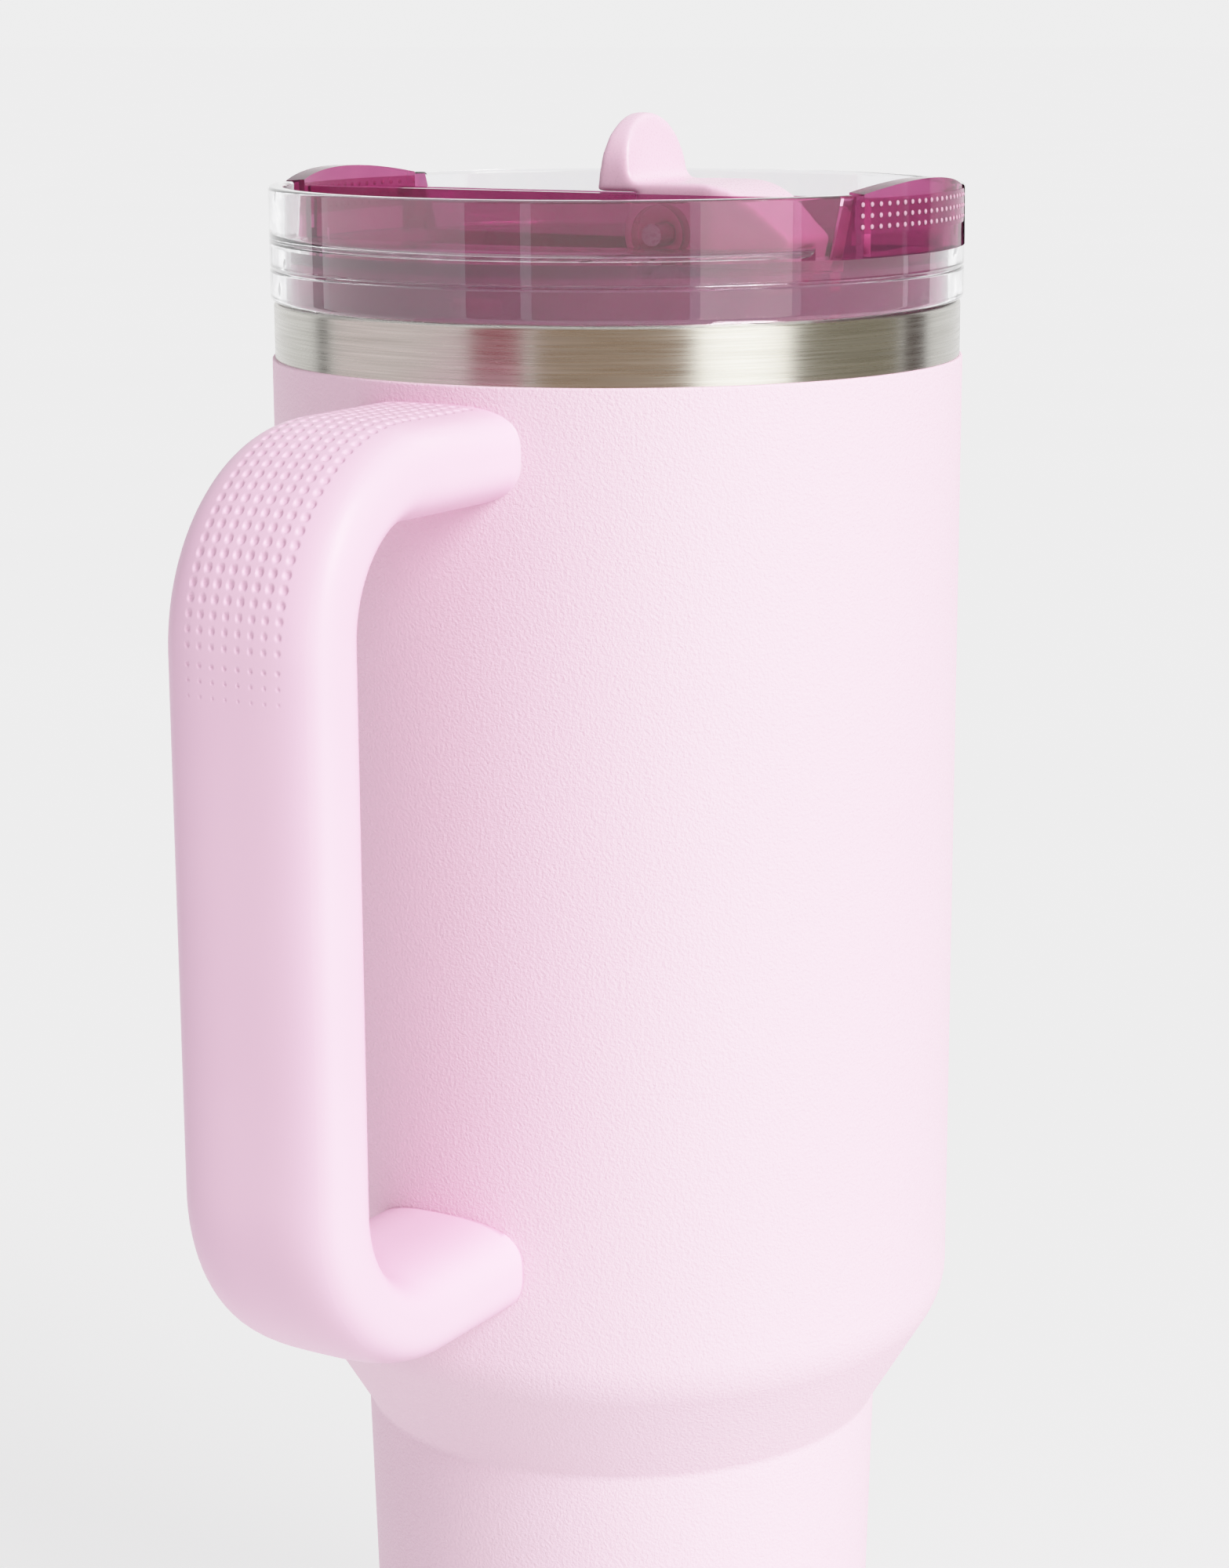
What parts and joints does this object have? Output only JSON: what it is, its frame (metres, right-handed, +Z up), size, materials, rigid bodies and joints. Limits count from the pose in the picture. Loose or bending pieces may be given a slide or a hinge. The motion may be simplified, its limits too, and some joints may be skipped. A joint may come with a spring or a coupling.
{
  "type": "insulated tumbler with lid",
  "caption": "Insulated steel tumbler with a straight body, a narrow cup-holder base, a loop handle at the side and a clear tinted screw lid with a flip-up straw mouthpiece.",
  "frame": {"origin": "centre of the underside of the base pad, on the vessel's axis", "axes": "+Z up along the vessel's axis, +X towards the handle, +Y towards the folded mouthpiece"},
  "size_m": [0.1417, 0.098, 0.2586],
  "materials": {
    "powder_coat": "fine-textured matte powder coat, pale pink",
    "liner_steel": "stainless steel, brushed round the rim band",
    "base_steel": "plain stainless steel",
    "getter_metal": "sintered, dull",
    "solder": "dull solder",
    "pad_rubber": "matte rubber, pink",
    "core_plastic": "stiff moulded plastic",
    "grip_plastic": "soft-touch satin, pale pink",
    "screw_steel": "turned stainless steel",
    "tinted_plastic": "clear magenta-tinted, polished",
    "clear_plastic": "colourless clear, polished",
    "seal_silicone": "translucent silicone",
    "spout_plastic": "opaque satin pale pink",
    "straw_plastic": "clear, polished"
  },
  "bodies": {
    "vessel": {"outer_shell": "powder_coat", "inner_liner": "liner_steel", "outer_base": "base_steel", "liner_base": "liner_steel", "getter": "getter_metal", "vacuum_seal": "solder", "base_pad": "pad_rubber", "handle_core": "core_plastic", "handle_grip": "grip_plastic", "upper_bracket": "base_steel", "lower_bracket": "base_steel", "handle_screws": "screw_steel", "screw_plugs": "grip_plastic"},
    "lid": {"lid_body": "tinted_plastic", "lid_ring": "clear_plastic", "lid_gasket": "seal_silicone", "pivot_pins": "screw_steel", "port_seal": "seal_silicone", "vent_valve": "seal_silicone"},
    "spout": {"flip_spout": "spout_plastic"},
    "straw": {"straw": "straw_plastic", "straw_sleeve": "seal_silicone"}
  },
  "joints": [
    {"name": "lid_lift", "type": "slide", "parent": "vessel", "child": "lid", "axis": [0, 0, 1], "range_m": [0, 0.09]},
    {"name": "spout_flip", "type": "hinge", "parent": "lid", "child": "spout", "pos_m": [0, 0.013, 0.2425], "axis": [1, 0, 0], "range_deg": [0, 90]},
    {"name": "straw_pull", "type": "slide", "parent": "lid", "child": "straw", "axis": [0, 0, -1], "range_m": [0, 0.01]}
  ]
}
